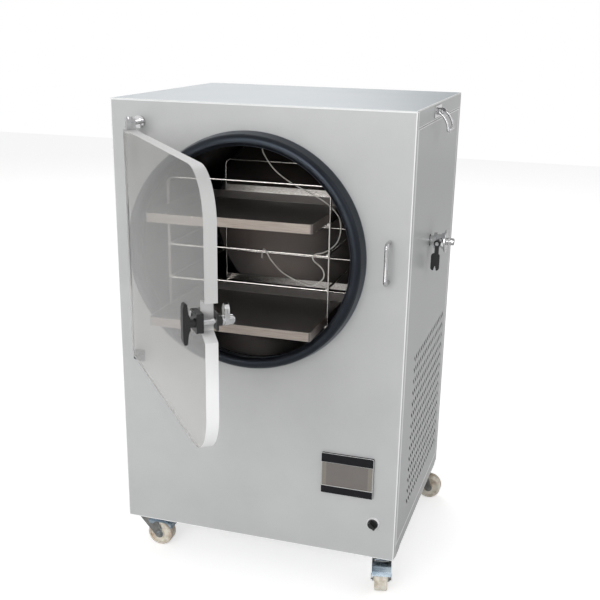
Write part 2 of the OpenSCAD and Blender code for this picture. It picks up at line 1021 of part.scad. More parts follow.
// Flange, stud and eye on the front panel
module upper_hinge_stud() {
    eye_mid = (eye_z0 + eye_z1) / 2;
    color("silver")
        difference() {
            union() {
                translate([pivot_x, front_y, eye_mid]) {
                    bar_y(stud_flange_r, -stud_flange_t, 0);
                    bar_y(stud_r - 0.5, pivot_y - front_y, 0);
                    bar_y(stud_r + 2, -stud_flange_t - 3, 0);
                }
                translate([pivot_x, pivot_y, eye_z0])
                    cylinder(r = eye_r, h = eye_h);
            }
            translate([pivot_x, pivot_y, eye_z0 - e])
                cylinder(r = hinge_pin_r + run, h = eye_h + 2 * e);
        }
}

// Clevis on the door's top edge, with the pin that turns in the eye
module upper_hinge_clevis() {
    plate_x1 = eye_r + 9;
    plate_y = 9;
    web_x0 = eye_r + 1;
    top_z0 = eye_z1 + clevis_gap;
    color("silver")
        at_door() {
            for (z = [door_z1, top_z0])
                translate([0, 0, z])
                    linear_extrude(clevis_t) {
                        circle(plate_y);
                        box2(0, plate_x1, -plate_y, plate_y);
                    }
            box3(web_x0, plate_x1, -plate_y, plate_y, door_z1, top_z0 + clevis_t);
            translate([0, 0, door_z1])
                cylinder(r = hinge_pin_r, h = top_z0 + clevis_t - door_z1);
            translate([0, 0, top_z0 + clevis_t])
                cylinder(r = pin_head_r, h = pin_head_t);
        }
}

// Arm under the door's lower corner, with the pin that stands up into the door
module lower_hinge_bracket() {
    arm_half = 11;
    foot_h = 26;
    foot_t = 4;
    color("dimgray") {
        translate([pivot_x, 0, bracket_z1 - bracket_t])
            linear_extrude(bracket_t) {
                box2(-arm_half, arm_half, pivot_y, front_y);
                translate([0, pivot_y])
                    circle(arm_half);
            }
        translate([pivot_x, 0, bracket_z1 - foot_h / 2])
            upright(front_y - foot_t, front_y)
                round_rect(2 * arm_half, foot_h, 3);
        translate([pivot_x, pivot_y, bracket_z1 - e])
            cylinder(r = hinge_pin_r, h = pin_up + e);
    }
}

// ---------------------------------------------------------------- latch

// Handle: a turned, flared cap cut to a bar, on a round stem
module latch_handle() {
    edge_r = 3.2;
    flare_r = 12;
    edge_n = grip_n + 1.8;
    flare_n = stem_n0 - 9;
    color("black")
        at_latch()
            difference() {
                union() {
                    intersection() {
                        turned_y() {
                            polygon([
                                [0, grip_n], [grip_r - 8, grip_n + 0.4], [grip_r - edge_r, edge_n],
                                [grip_r - edge_r, edge_n + 2 * edge_r], [1.5 * flare_r, flare_n - 3],
                                [flare_r, flare_n], [0, flare_n]
                            ]);
                            translate([grip_r - edge_r, edge_n + edge_r])
                                circle(edge_r);
                        }
                        upright(grip_n - e, stem_n0)
                            square([grip_w, 2 * grip_r + 2 * e], center = true);
                    }
                    bar_y(stem_r, grip_n + 4, stem_n0);
                }
                bar_y(shaft_r + run, grip_n + grip_wall, stem_n0 + e);
            }
}

module latch_shaft() {
    color("silver")
        at_latch()
            bar_y(shaft_r, grip_n + grip_wall + seat, hook_n0 + hook_t + nut_t - 3);
}

// Hook arm that swings behind the strike bar, with its collar on the shaft
module latch_hook() {
    color("silver")
        at_latch()
            difference() {
                union() {
                    upright(hook_n0, hook_n0 + hook_t) {
                        circle(hook_half);
                        box2(-hook_half, hook_half, 0, hook_len - 6);
                        polygon([
                            [-hook_half, hook_len - 6], [hook_half, hook_len - 6],
                            [hook_half - 4, hook_len], [-hook_half + 4, hook_len]
                        ]);
                    }
                    bar_y(boss_r - 1, door_t + plate_t + boss_in + 0.2, hook_n0 + e);
                }
                bar_y(shaft_r + run, door_t, hook_n0 + hook_t + e);
            }
}

module latch_nut() {
    color("silver")
        at_latch()
            difference() {
                turned_y()
                    polygon([
                        [0, hook_n0 + hook_t], [nut_r, hook_n0 + hook_t],
                        [nut_r, hook_n0 + hook_t + nut_t - 3], [nut_r - 3, hook_n0 + hook_t + nut_t],
                        [0, hook_n0 + hook_t + nut_t]
                    ]);
                bar_y(shaft_r + run, hook_n0, hook_n0 + hook_t + nut_t - 3 + seat);
            }
}

// Plate with a boss that guides the shaft: its face on the door, its free face and the boss's end
module latch_plate(reach, half, n_door, n_plate, n_boss) {
    low = min(n_door, n_plate);
    high = max(n_door, n_plate);
    difference() {
        union() {
            upright(low, high)
                translate([(boss_r + 1 - reach) / 2, 0])
                    round_rect(reach + boss_r + 1, 2 * half, 2);
            bar_y(boss_r, min(n_door, n_boss), max(n_door, n_boss));
        }
        bar_y(shaft_r + run, min(n_door, n_boss) - e, max(n_door, n_boss) + e);
        for (s = [-1, 1])
            translate([screw_x, 0, s * screw_z])
                bar_y(screw_r + run, low - e, high + e);
    }
}

module latch_plate_outer() {
    color("black")
        at_latch()
            latch_plate(plate_reach, plate_half, 0, -block_t, -block_t);
}

module latch_plate_inner() {
    color("black")
        at_latch()
            latch_plate(inner_reach, inner_half, door_t, door_t + plate_t, door_t + plate_t + boss_in);
}

// Two screws through the plates and the door
module latch_screws() {
    color("dimgray")
        at_latch()
            for (s = [-1, 1])
                translate([screw_x, 0, s * screw_z]) {
                    bar_y(screw_r, -block_t - e, door_t + plate_t);
                    bar_y(2 * screw_r - 0.5, -block_t - 2.5, -block_t);
                }
}

// Round bar bent to a U, standing on the front panel
module strike_bar() {
    bend = 8;
    half = strike_h / 2 - strike_r;
    corner = arc([strike_y + bend, half - bend], bend, 90, 180, 3);
    upper = concat([[front_y, half]], corner);
    color("silver")
        translate([strike_x, 0, chamber_z + strike_up])
            bent_rod(concat(
                [for (p = upper) [0, p[0], p[1]]],
                [for (i = [len(upper) - 1 : -1 : 0]) [0, upper[i][0], -upper[i][1]]]
            ), strike_r);
}

// ---------------------------------------------------------------- controls

module touch_panel_frame() {
    color("black")
        translate([touch_x, 0, touch_z])
            difference() {
                union() {
                    upright(front_y - touch_t, front_y)
                        round_rect(touch_w, touch_h, touch_round);
                    upright(front_y - e, front_y + touch_depth)
                        round_rect(touch_w - 2 * body_in, touch_h - 2 * body_in, touch_round);
                }
                upright(front_y - touch_t - e, front_y - touch_t + screen_t)
                    translate([0, screen_up])
                        square([touch_w - 2 * screen_side, screen_h], center = true);
            }
}

module touch_screen() {
    color("dimgray")
        translate([touch_x, 0, touch_z + screen_up])
            upright(front_y - touch_t + screen_in, front_y - touch_t + screen_t)
                square([touch_w - 2 * (screen_side + screen_gap), screen_h - 2 * screen_gap], center = true);
}

// Silver ring, threaded barrel through the panel and the switch block behind it
module selector_bezel() {
    block = 30;
    block_end = 40;
    color("silver")
        translate([selector_x, front_y, selector_z])
            difference() {
                union() {
                    turned_y()
                        polygon([[0, -ring_t], [selector_r - 2, -ring_t], [selector_r, 0], [0, 0]]);
                    bar_y(barrel_r, -e, barrel_len);
                    upright(barrel_len, block_end)
                        square([block, block], center = true);
                }
                bar_y(knob_r + seat, -ring_t - e, -ring_t + knob_in);
                bar_y(hinge_pin_r + run, -ring_t, stem_in + 1);
            }
}

// Knob with a raised grip bar and a shaft into the barrel
module selector_knob() {
    color("black")
        translate([selector_x, front_y, selector_z]) {
            bar_y(knob_r, -ring_t - knob_t + knob_in - seat, -ring_t + knob_in - seat);
            bar_y(hinge_pin_r, -ring_t - 1, stem_in);
            rotate([0, selector_turn, 0])
                upright(-ring_t - knob_t - knob_grip + 6, -ring_t - knob_t + 4)
                    round_rect(2 * knob_r - 3, knob_grip_w, 2.5);
        }
}

// ---------------------------------------------------------------- lid handles

module handle_side() {
    translate([half_w, handle_y, handle_z])
        children();
}

// Plate on the lid's side with two knuckles that hold the bail's turned-in ends
module handle_plate() {
    plate_half = handle_w / 2 + 8;
    plate_h = 24;
    screw_gap = 9;
    difference() {
        union() {
            sideways(0, handle_plate_t)
                round_rect(2 * plate_half, plate_h, 3);
            for (s = [-1, 1])
                translate([0, s * (handle_w / 2 - wire_r - seat - knuckle_len / 2), 0]) {
                    translate([handle_out, 0, 0])
                        bar_y(knuckle_r, -knuckle_len / 2, knuckle_len / 2);
                    box3(0, handle_out, -knuckle_len / 2, knuckle_len / 2, -knuckle_r + 1, knuckle_r - 1);
                }
            for (s = [-1, 1])
                translate([0, s * screw_gap, -4])
                    bar_x(3.5, 0, handle_plate_t + 1.5);
        }
        translate([handle_out, 0, 0])
            bar_y(wire_r + run, -plate_half, plate_half);
    }
}

module handle_plates() {
    color("silver")
        for (s = [0, 1])
            mirror([s, 0, 0])
                handle_side()
                    handle_plate();
}

// Bail of round wire: two curved legs, turned-in ends and a sleeve on the cross bar
module handle_bail() {
    end_in = wire_r + seat + knuckle_len - 1;
    half = handle_w / 2;
    drop = handle_drop / cos(handle_slope);
    sweep = 2 * asin(drop / 2 / handle_bend);
    translate([handle_out, 0, 0])
        rotate([0, -handle_slope, 0]) {
            for (s = [0, 1])
                mirror([0, s, 0]) {
                    bar_y(wire_r, half - end_in, half);
                    translate([-handle_bend * cos(sweep / 2), half, -drop / 2])
                        rotate([90, sweep / 2, 0])
                            rotate_extrude(angle = sweep)
                                translate([handle_bend, 0])
                                    circle(wire_r, $fn = 32);
                    for (z = [0, -drop])
                        translate([0, half, z])
                            sphere(wire_r * bend_swell, $fn = 32);
                }
            translate([0, 0, -drop]) {
                bar_y(wire_r, -half, half);
                bar_y(grip_tube_r, -grip_tube_half, grip_tube_half);
            }
        }
}

module lid_handle_right() {
    color("silver")
        handle_side()
            handle_bail();
}

module lid_handle_left() {
    color("silver")
        mirror([1, 0, 0])
            handle_side()
                handle_bail();
}

// ---------------------------------------------------------------- vacuum port

// Pipe from the chamber's wall through the side panel, coped to the wall
module port_nipple() {
    color("silver")
        difference() {
            translate([0, port_y, port_z])
                difference() {
                    bar_x(nipple_r, chamber_x + shell_r - 2, valve_x0);
                    bar_x(nipple_bore, chamber_x, valve_x0 + e);
                }
            translate([chamber_x, port_y, chamber_z])
                bar_y(shell_r + seat, -2 * nipple_r, 2 * nipple_r);
        }
}

// Ball valve: turned body with hexagon ends, and a stem towards the front
module valve_body() {
    end_len = 7;
    color("silver")
        translate([0, port_y, port_z])
            difference() {
                union() {
                    bar_x(valve_r, valve_x0, adapter_x0);
                    for (x = [valve_x0, adapter_x0 - end_len])
                        translate([x, 0, 0])
                            rotate([0, 90, 0])
                                cylinder(r = valve_r + 3, h = end_len, $fn = 6);
                    translate([valve_mid, 0, 0]) {
                        bar_y(7, -valve_r - stem_len + 8, 0);
                        bar_y(hinge_pin_r, -lever_gap - lever_t - 2, 0);
                    }
                }
                bar_x(nipple_bore, valve_x0 - e, adapter_x0 + e);
            }
}

// Lever that hangs from the stem, with a forked paddle
module valve_lever() {
    hub = 7.5;
    paddle_w = 19;
    paddle_h = 38;
    arm_w = 9;
    color("black")
        translate([valve_mid, port_y, port_z])
            difference() {
                upright(-lever_gap - lever_t, -lever_gap) {
                    circle(hub);
                    box2(-arm_w / 2, arm_w / 2, -lever_len + 10, 0);
                    difference() {
                        translate([-2, -lever_len + paddle_h / 2])
                            round_rect(paddle_w, paddle_h, 6);
                        translate([-2, -lever_len])
                            polygon([[-3.5, -e], [3.5, -e], [0, 12]]);
                    }
                }
                bar_y(hinge_pin_r + run, -lever_gap - lever_t - e, -lever_gap + e);
            }
}

// Flanged adapter with a barbed end for the vacuum pump's hose
module hose_adapter() {
    color("silver")
        translate([adapter_x0, port_y, port_z])
            difference() {
                turned_x()
                    polygon([
                        [0, 0], [adapter_r, 0], [adapter_r, adapter_t - 1], [adapter_r - 1, adapter_t],
                        [barb_r, adapter_t], [barb_r, adapter_t + 3], [barb_r + 1.2, adapter_t + 3.5],
                        [barb_r, adapter_t + 8], [barb_r, adapter_t + barb_len], [0, adapter_t + barb_len]
                    ]);
                bar_x(barb_bore, -e, adapter_t + barb_len + e);
            }
}

// ---------------------------------------------------------------- machinery

// Welded hermetic shell on a base with four feet
module compressor() {
    lug = 84;
    lug_r = 12;
    dome = 42;
    terminal = 60;
    terminal_up = 120;
    color("black")
        translate([comp_x, comp_y, pan_t]) {
            translate([0, 0, comp_foot_h])
                rotate_extrude() {
                    intersection() {
                        box2(0, comp_r, 0, comp_h);
                        translate([0, comp_h - dome - 40])
                            circle(comp_r + 12);
                    }
                    box2(0, comp_r, 0, comp_h - dome - 50);
                    box2(0, comp_r + 4, comp_h / 2 - 5, comp_h / 2 + 1);
                }
            translate([0, 0, comp_foot_h - 4])
                linear_extrude(5)
                    round_rect(2 * lug + 30, 2 * lug + 30, 14);
            for (x = [-1, 1], y = [-1, 1])
                translate([x * lug, y * lug, 0])
                    cylinder(r = lug_r, h = comp_foot_h - 3);
            translate([0, -comp_r, comp_foot_h + terminal_up])
                box3(-terminal / 2, terminal / 2, -26, 30, -terminal / 2, terminal / 2);
        }
}

// Fins on horizontal tubes between two end plates, with feet on the base pan
module condenser() {
    fins = floor((cond_w - 20) / fin_pitch);
    pitch = cond_h / tube_rows;
    y0 = cond_y - cond_w / 2;
    color("silver") {
        for (i = [0 : fins])
            box3(cond_x0, cond_x0 + cond_t, y0 + 10 + i * fin_pitch, y0 + 10 + i * fin_pitch + fin_t,
                cond_z0 + 3, cond_z0 + cond_h - 3);
        for (k = [0 : tube_rows - 1])
            translate([cond_x0 + cond_t / 2, 0, cond_z0 + (k + 0.5) * pitch])
                bar_y(cond_tube_r, y0, y0 + cond_w);
        for (y = [y0, y0 + cond_w - cond_end_t])
            box3(cond_x0, cond_x0 + cond_t, y, y + cond_end_t, pan_t, cond_z0 + cond_h);
    }
}

// Plate and duct round the fan, on the condenser's inner face, with arms for the motor
module fan_shroud() {
    arm = 8;
    x1 = cond_x0;
    color("dimgray")
        translate([0, cond_y, fan_z]) {
            difference() {
                union() {
                    sideways(x1 - shroud_t, x1)
                        square([cond_w, cond_h], center = true);
                    bar_x(fan_r + fan_gap + 2, x1 - shroud_depth, x1);
                }
                bar_x(fan_r + fan_gap, x1 - shroud_depth - e, x1 + e);
            }
            difference() {
                for (a = [0, 90])
                    rotate([a, 0, 0])
                        box3(x1 - shroud_depth - arm, x1 - shroud_depth,
                            -fan_r - fan_gap - 2, fan_r + fan_gap + 2, -arm, arm);
                bar_x(motor_r + seat, x1 - shroud_depth - arm - e, x1 - shroud_depth + e);
            }
        }
}

module fan_motor() {
    x1 = cond_x0 - shroud_depth;
    color("black")
        translate([0, cond_y, fan_z]) {
            bar_x(motor_r, x1 - motor_len, x1);
            bar_x(fan_shaft_r, x1 - e, cond_x0 - shroud_t);
        }
}

// Hub and pitched blades, trimmed to the fan's radius
module fan_blades() {
    hub_x0 = cond_x0 - shroud_depth + 2;
    hub_x1 = cond_x0 - shroud_t - 2;
    color("gray")
        translate([0, cond_y, fan_z])
            difference() {
                union() {
                    bar_x(hub_r, hub_x0, hub_x1);
                    intersection() {
                        bar_x(fan_r, hub_x0, hub_x1);
                        for (k = [0 : blade_count - 1])
                            rotate([360 / blade_count * k, 0, 0])
                                translate([fan_x, 0, fan_r / 2 + 10])
                                    rotate([0, 0, 62])
                                        cube([60, 2, fan_r], center = true);
                    }
                }
                bar_x(fan_shaft_r + run, hub_x0 - e, hub_x1 + e);
            }
}

// Steel box for the controls, standing on the base pan
module control_box() {
    color("lightgray")
        translate([box_x, box_y, pan_t]) {
            linear_extrude(box_h)
                round_rect(box_w, box_d, 3);
            translate([0, 0, box_h / 2])
                upright(-box_d / 2 - 1.5, -box_d / 2)
                    round_rect(box_w - 12, box_h - 12, 3);
        }
}

// Discharge line to the condenser, and the line up to the evaporator
module refrigerant_pipes() {
    cond_top = cond_z0 + cond_h - cond_h / tube_rows / 2;
    pipe_z = pan_t + comp_foot_h + pipe_up;
    pipe_x = comp_x + comp_r + pipe_off;
    y0 = cond_y - cond_w / 2;
    cond_mid = cond_x0 + cond_t / 2;
    color("peru") {
        bent_rod([
            [comp_x + comp_r + seat, comp_y, pipe_z], [pipe_x, comp_y, pipe_z],
            [pipe_x, y0 - pipe_off, pipe_z], [pipe_x, y0 - pipe_off, cond_top],
            [cond_mid, y0 - pipe_off, cond_top], [cond_mid, y0 - seat, cond_top]
        ], pipe_r);
    }
}

// Cable gland in the rear panel, for the supply
module power_gland() {
    hex_r = gland_r + 4;
    hex_t = 7;
    nut_h = 5.5;
    thread_in = sheet + 8;
    gland_out = 16;
    supply_r = 5;
    color("black")
        translate([gland_x, back_y, gland_z])
            difference() {
                union() {
                    bar_y(gland_r, -thread_in, 0);
                    rotate([-90, 0, 0])
                        cylinder(r = hex_r, h = hex_t, $fn = 6);
                    bar_y(gland_r, 0, gland_out);
                    translate([0, -sheet - nut_h, 0])
                        rotate([-90, 0, 0])
                            cylinder(r = hex_r, h = nut_h, $fn = 6);
                }
                bar_y(supply_r, -thread_in - e, gland_out + e);
            }
}

// ---------------------------------------------------------------- castors

// Frame of one castor: x runs from the swivel axis towards the wheel's axle
module at_caster(i) {
    c = caster_places[i];
    translate([c[0] * caster_x, c[1] * caster_y, 0])
        rotate([0, 0, c[2]])
            children();
}

// Mounting plates with their bearings, kingpins and bolt heads
module caster_plates() {
    plate_l = 70;
    plate_w = 56;
    bolt_r = 6.5;
    bolt_h = 5;
    for (c = caster_places)
        color("silver")
            translate([c[0] * caster_x, c[1] * caster_y, 0]) {
                translate([0, 0, -mount_t])
                    linear_extrude(mount_t)
                        round_rect(plate_l, plate_w, 5);
                translate([0, 0, -mount_t - swivel_t])
                    rotate_extrude()
                        polygon([
                            [0, 0], [swivel_r - 3, 0], [swivel_r, 3], [swivel_r, swivel_t - 4],
                            [swivel_r - 4, swivel_t], [0, swivel_t]
                        ]);
                translate([0, 0, fork_top - fork_t - kingpin_head]) {
                    cylinder(r = kingpin_r, h = kingpin_head + 4);
                    cylinder(r = kingpin_r + 2.5, h = kingpin_head - seat, $fn = 6);
                }
                for (x = [-1, 1], y = [-1, 1])
                    translate([x * bolt_in_x, y * bolt_in_y, -mount_t - bolt_h])
                        cylinder(r = bolt_r, h = bolt_h, $fn = 6);
            }
}

// Side view of a fork's leg, from the top plate down to the axle
module fork_leg() {
    end_r = 0.9 * eye_fork_r;
    polygon([
        [fork_back, fork_top], [fork_front, fork_top], [fork_front, fork_top - fork_t],
        [trail + end_r * cos(12), axle_z + end_r * sin(12)],
        [trail - end_r * cos(35), axle_z - end_r * sin(35)],
        [fork_back, fork_top - fork_t]
    ]);
    translate([trail, axle_z])
        circle(eye_fork_r);
}

// Pressed fork: a top plate on the kingpin, two legs and the axle bolt between them
module fork() {
    outer = fork_half + fork_t;
    color("silver") {
        for (s = [0, 1])
            mirror([0, s, 0])
                upright(fork_half, outer)
                    fork_leg();
        translate([0, 0, fork_top - fork_t])
            linear_extrude(fork_t)
                difference() {
                    box2(fork_back, fork_front, -outer, outer);
                    circle(kingpin_r + run);
                }
        translate([trail, 0, axle_z]) {
            bar_y(axle_r, -outer, outer);
            for (s = [0, 1])
                mirror([0, s, 0])
                    translate([0, outer, 0])
                        rotate([-90, 0, 0])
                            cylinder(r = axle_r + 3, h = 4, $fn = 6);
        }
    }
}

// Tread, groove, hub and bore of a wheel
module wheel() {
    edge = 4;
    groove_w = 2.5;
    groove_d = 1.5;
    web_in = 3;
    rim_in_r = wheel_r - 6;
    hub_out_r = 11;
    half = wheel_w / 2;
    hub_half = fork_half - 0.5;
    color("wheat")
        translate([trail, 0, axle_z])
            turned_y()
                difference() {
                    union() {
                        box2(0, wheel_r - edge, -half, half);
                        box2(0, wheel_r, -half + edge, half - edge);
                        for (s = [-1, 1])
                            translate([wheel_r - edge, s * (half - edge)])
                                circle(edge);
                        box2(0, hub_out_r, -hub_half, hub_half);
                    }
                    box2(wheel_r - groove_d, wheel_r + e, -groove_w / 2, groove_w / 2);
                    for (s = [0, 1])
                        mirror([0, s])
                            box2(hub_out_r, rim_in_r, half - web_in, half + e);
                    box2(-e, axle_r + run, -half - 5, half + 5);
                }
}

// Brake pedal on the front castors: two cheeks outside the fork and a curved tread plate
module brake_pedal() {
    z = pedal_pin_z;
    cheek_in = fork_half + fork_t + 0.4;
    outer = [[2, z + 3], [8, z + 7.5], [22, z + 9], [50, z + 6.5], [61, z], [64, z - 10]];
    inner = [[59, z - 12], [55, z - 3], [46, z + 1], [22, z + 2], [14, z - 5], [4, z - 4]];
    skin = [
        [30, z + 8.3], [50, z + 6.5], [61, z], [64, z - 10],
        [61.6, z - 10.6], [59.2, z - 1.1], [49.3, z + 4.6], [30, z + 6.3]
    ];
    color("silver") {
        for (s = [0, 1])
            mirror([0, s, 0])
                upright(cheek_in, cheek_in + pedal_t)
                    polygon(concat(outer, inner));
        upright(-cheek_in - e, cheek_in + e)
            polygon(skin);
        translate([pedal_pin_x, 0, pedal_pin_z])
            bar_y(pedal_pin_r, -cheek_in - pedal_t, cheek_in + pedal_t);
    }
}

module caster_fork_fl() {
    at_caster(0)
        difference() {
            fork();
            pedal_bore();
        }
}

module caster_fork_fr() {
    at_caster(1)
        difference() {
            fork();
            pedal_bore();
        }
}

module caster_fork_rl() {
    at_caster(2)
        fork();
}

module caster_fork_rr() {
    at_caster(3)
        fork();
}

// Bore for the pedal's pin through both legs
module pedal_bore() {
    translate([pedal_pin_x, 0, pedal_pin_z])
        bar_y(pedal_pin_r + run, -fork_half - fork_t - e, fork_half + fork_t + e);
}

module caster_wheel_fl() {
    at_caster(0)
        wheel();
}

module caster_wheel_fr() {
    at_caster(1)
        wheel();
}

module caster_wheel_rl() {
    at_caster(2)
        wheel();
}

module caster_wheel_rr() {
    at_caster(3)
        wheel();
}

module brake_pedal_fl() {
    at_caster(0)
        brake_pedal();
}

module brake_pedal_fr() {
    at_caster(1)
        brake_pedal();
}

cabinet_frame();
base_pan();
front_panel();
right_panel();
left_panel();
rear_panel();
top_cover();
panel_screws();
chamber_shell();
chamber_insulation();
evaporator_coil();
door_gasket();
drain_tube();
feedthrough();
probe_lead();
shelf_rack();
tray_upper();
tray_lower();
door_panel();
upper_hinge_stud();
upper_hinge_clevis();
lower_hinge_bracket();
latch_handle();
latch_shaft();
latch_hook();
latch_nut();
latch_plate_outer();
latch_plate_inner();
latch_screws();
strike_bar();
touch_panel_frame();
touch_screen();
selector_bezel();
selector_knob();
handle_plates();
lid_handle_right();
lid_handle_left();
port_nipple();
valve_body();
valve_lever();
hose_adapter();
compressor();
condenser();
fan_shroud();
fan_motor();
fan_blades();
control_box();
refrigerant_pipes();
power_gland();
caster_plates();
caster_fork_fl();
caster_fork_fr();
caster_fork_rl();
caster_fork_rr();
caster_wheel_fl();
caster_wheel_fr();
caster_wheel_rl();
caster_wheel_rr();
brake_pedal_fl();
brake_pedal_fr();
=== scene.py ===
# A laboratory freeze dryer: a sheet-metal cabinet on castors, with a round chamber behind a clear door.
import json
import math

import bpy
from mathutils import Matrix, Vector

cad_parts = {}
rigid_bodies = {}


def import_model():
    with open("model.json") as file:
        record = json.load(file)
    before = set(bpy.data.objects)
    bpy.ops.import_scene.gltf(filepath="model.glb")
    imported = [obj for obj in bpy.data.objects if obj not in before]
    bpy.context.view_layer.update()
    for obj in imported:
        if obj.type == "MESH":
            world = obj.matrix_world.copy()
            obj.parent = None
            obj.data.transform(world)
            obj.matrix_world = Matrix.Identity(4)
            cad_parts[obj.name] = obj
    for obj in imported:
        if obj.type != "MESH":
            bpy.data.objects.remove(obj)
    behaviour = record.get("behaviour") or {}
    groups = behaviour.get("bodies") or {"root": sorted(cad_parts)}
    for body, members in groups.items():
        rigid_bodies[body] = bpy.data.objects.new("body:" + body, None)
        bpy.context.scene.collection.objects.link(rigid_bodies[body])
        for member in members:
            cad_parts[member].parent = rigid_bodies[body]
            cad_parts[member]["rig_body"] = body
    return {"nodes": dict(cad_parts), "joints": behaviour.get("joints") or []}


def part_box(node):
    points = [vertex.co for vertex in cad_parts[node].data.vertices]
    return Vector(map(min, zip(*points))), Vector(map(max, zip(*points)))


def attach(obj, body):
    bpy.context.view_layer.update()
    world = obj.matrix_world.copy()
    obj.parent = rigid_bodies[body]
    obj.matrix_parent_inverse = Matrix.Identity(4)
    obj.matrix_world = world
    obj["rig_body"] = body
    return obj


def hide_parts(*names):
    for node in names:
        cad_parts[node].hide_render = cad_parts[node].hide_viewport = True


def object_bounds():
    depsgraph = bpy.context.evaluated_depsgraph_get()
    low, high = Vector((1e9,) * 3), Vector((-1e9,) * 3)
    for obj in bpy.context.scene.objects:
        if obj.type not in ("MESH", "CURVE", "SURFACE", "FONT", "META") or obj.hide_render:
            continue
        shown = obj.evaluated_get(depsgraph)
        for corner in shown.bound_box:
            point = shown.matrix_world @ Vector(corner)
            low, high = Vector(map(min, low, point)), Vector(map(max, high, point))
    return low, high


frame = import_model()
cad_box = [[float(x) for x in corner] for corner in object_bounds()]
bpy.ops.object.select_all(action="DESELECT")
scene = bpy.context.scene
nodes = frame["nodes"]


# ---- Studio floor and walls --------------------------------------------------------------------
# A pale sheet that the machine stands on. It keeps the shadow of the machine, and glows a little
# to the camera, so that it shows as white where nothing lies on it.
class Wire:
    """An output of a node; sums on it add Math nodes to the same material."""

    def __init__(self, tree, out):
        self.tree = tree
        self.out = out

    @classmethod
    def begin(cls, name):
        """A new material, and its place on the piece as Object coordinates."""
        material = bpy.data.materials.new(name)
        material.use_nodes = True
        material.node_tree.nodes.clear()
        return cls(material.node_tree, None).node("ShaderNodeTexCoord", out="Object")

    def node(self, kind, settings=None, inputs=None, out=0):
        made = self.tree.nodes.new(kind)
        for key, value in (settings or {}).items():
            setattr(made, key, value)
        for key, value in (inputs or {}).items():
            if isinstance(value, Wire):
                self.tree.links.new(value.out, made.inputs[key])
            else:
                made.inputs[key].default_value = value
        return Wire(self.tree, made.outputs[out])

    def also(self, out):
        """Another output of the same node."""
        return Wire(self.tree, self.out.node.outputs[out])

    def math(self, operation, *terms):
        return self.node("ShaderNodeMath", {"operation": operation}, dict(enumerate(terms)))

    def __add__(self, other):
        return self.math("ADD", self, other)

    __radd__ = __add__

    def __sub__(self, other):
        return self.math("SUBTRACT", self, other)

    def __rsub__(self, other):
        return self.math("SUBTRACT", other, self)

    def __mul__(self, other):
        return self.math("MULTIPLY", self, other)

    __rmul__ = __mul__

    def noise(self, scale, detail=2.0, rough=0.5, stretch=(1, 1, 1)):
        """Fractal noise from 0 to 1 on these coordinates, drawn out along an axis by stretch."""
        place = self.node("ShaderNodeMapping", inputs={"Vector": self, "Scale": stretch})
        return place.node(
            "ShaderNodeTexNoise",
            inputs={"Vector": place, "Scale": scale, "Detail": detail, "Roughness": rough},
        )

    def range(self, low, high, to_low=0.0, to_high=1.0):
        """The value's part between low and high, stretched to a new range."""
        return self.node(
            "ShaderNodeMapRange",
            inputs={0: self, 1: low, 2: high, 3: to_low, 4: to_high},
        )

    def mix(self, first, second):
        """A colour between two others, by this value."""
        return self.node(
            "ShaderNodeMix",
            {"data_type": "RGBA"},
            {0: self, 6: first if isinstance(first, Wire) else (*first, 1),
             7: second if isinstance(second, Wire) else (*second, 1)},
            out=2,
        )

    def bump(self, depth, height, strength=1.0):
        return self.node(
            "ShaderNodeBump", inputs={"Strength": strength, "Distance": depth, "Height": height}
        )

    def shade(self, **sockets):
        """Ends the material in a Principled shader, with the sockets' names in words."""
        names = {key.replace("_", " "): value for key, value in sockets.items()}
        for key, value in names.items():
            if isinstance(value, tuple) and len(value) == 3:
                names[key] = (*value, 1)
        surface = self.node("ShaderNodeBsdfPrincipled", inputs=names)
        return self.finish(surface)

    def finish(self, surface):
        made = self.tree.nodes.new("ShaderNodeOutputMaterial")
        self.tree.links.new(surface.out, made.inputs["Surface"])
        return next(m for m in bpy.data.materials if m.node_tree == self.tree)


floor_z = cad_box[0][2]
bpy.ops.mesh.primitive_plane_add(size=1, location=(0, 0, floor_z))
floor = bpy.context.object
floor.name = "studio_floor"
floor_width = 14
floor.scale = (floor_width, floor_width, 1)
bpy.ops.object.transform_apply(location=True, rotation=True, scale=True)
place = Wire.begin("studio paper")
looked_at = place.node("ShaderNodeLightPath", out="Is Camera Ray")
paper = place.node("ShaderNodeBsdfDiffuse", inputs={"Color": (0.8, 0.8, 0.8, 1)})
glow = place.node("ShaderNodeEmission", inputs={"Color": (1, 1, 1, 1), "Strength": 0.5})
shown = place.node("ShaderNodeAddShader", inputs={0: paper, 1: glow})
floor.data.materials.append(
    place.finish(place.node("ShaderNodeMixShader", inputs={0: looked_at, 1: paper, 2: shown}))
)


# ---- Light and camera --------------------------------------------------------------------------
# Large soft lamps in a white room, which shiny things see with lighter and darker parts. The
# camera stands to the right of the machine, above its lid, and looks down at the open door.
world = bpy.data.worlds.new("white room")
scene.world = world
world.use_nodes = True
tree = world.node_tree
tree.nodes.clear()
room = Wire(tree, None)
path = room.node("ShaderNodeLightPath", out="Is Camera Ray")
seen = path.math("MAXIMUM", path, path.also("Is Transmission Ray"))
even = room.node("ShaderNodeBackground", inputs={"Color": (1, 1, 1, 1), "Strength": 0.52})
walls = room.node("ShaderNodeTexCoord", out="Generated")
patches = room.node("ShaderNodeTexNoise", inputs={"Vector": walls, "Scale": 2.6, "Detail": 1.0}, out="Fac")
darkest, brightest = 0.22, 1.08
glint = room.node(
    "ShaderNodeBackground",
    inputs={"Color": (1, 1, 1, 1), "Strength": patches.range(0.40, 0.60, darkest, brightest)},
)
wall = room.node("ShaderNodeBackground", inputs={"Color": (1, 1, 1, 1), "Strength": 1.0})
unseen = room.node("ShaderNodeMixShader", inputs={0: path.also("Is Glossy Ray"), 1: even, 2: glint})
shown = room.node("ShaderNodeMixShader", inputs={0: seen, 1: unseen, 2: wall})
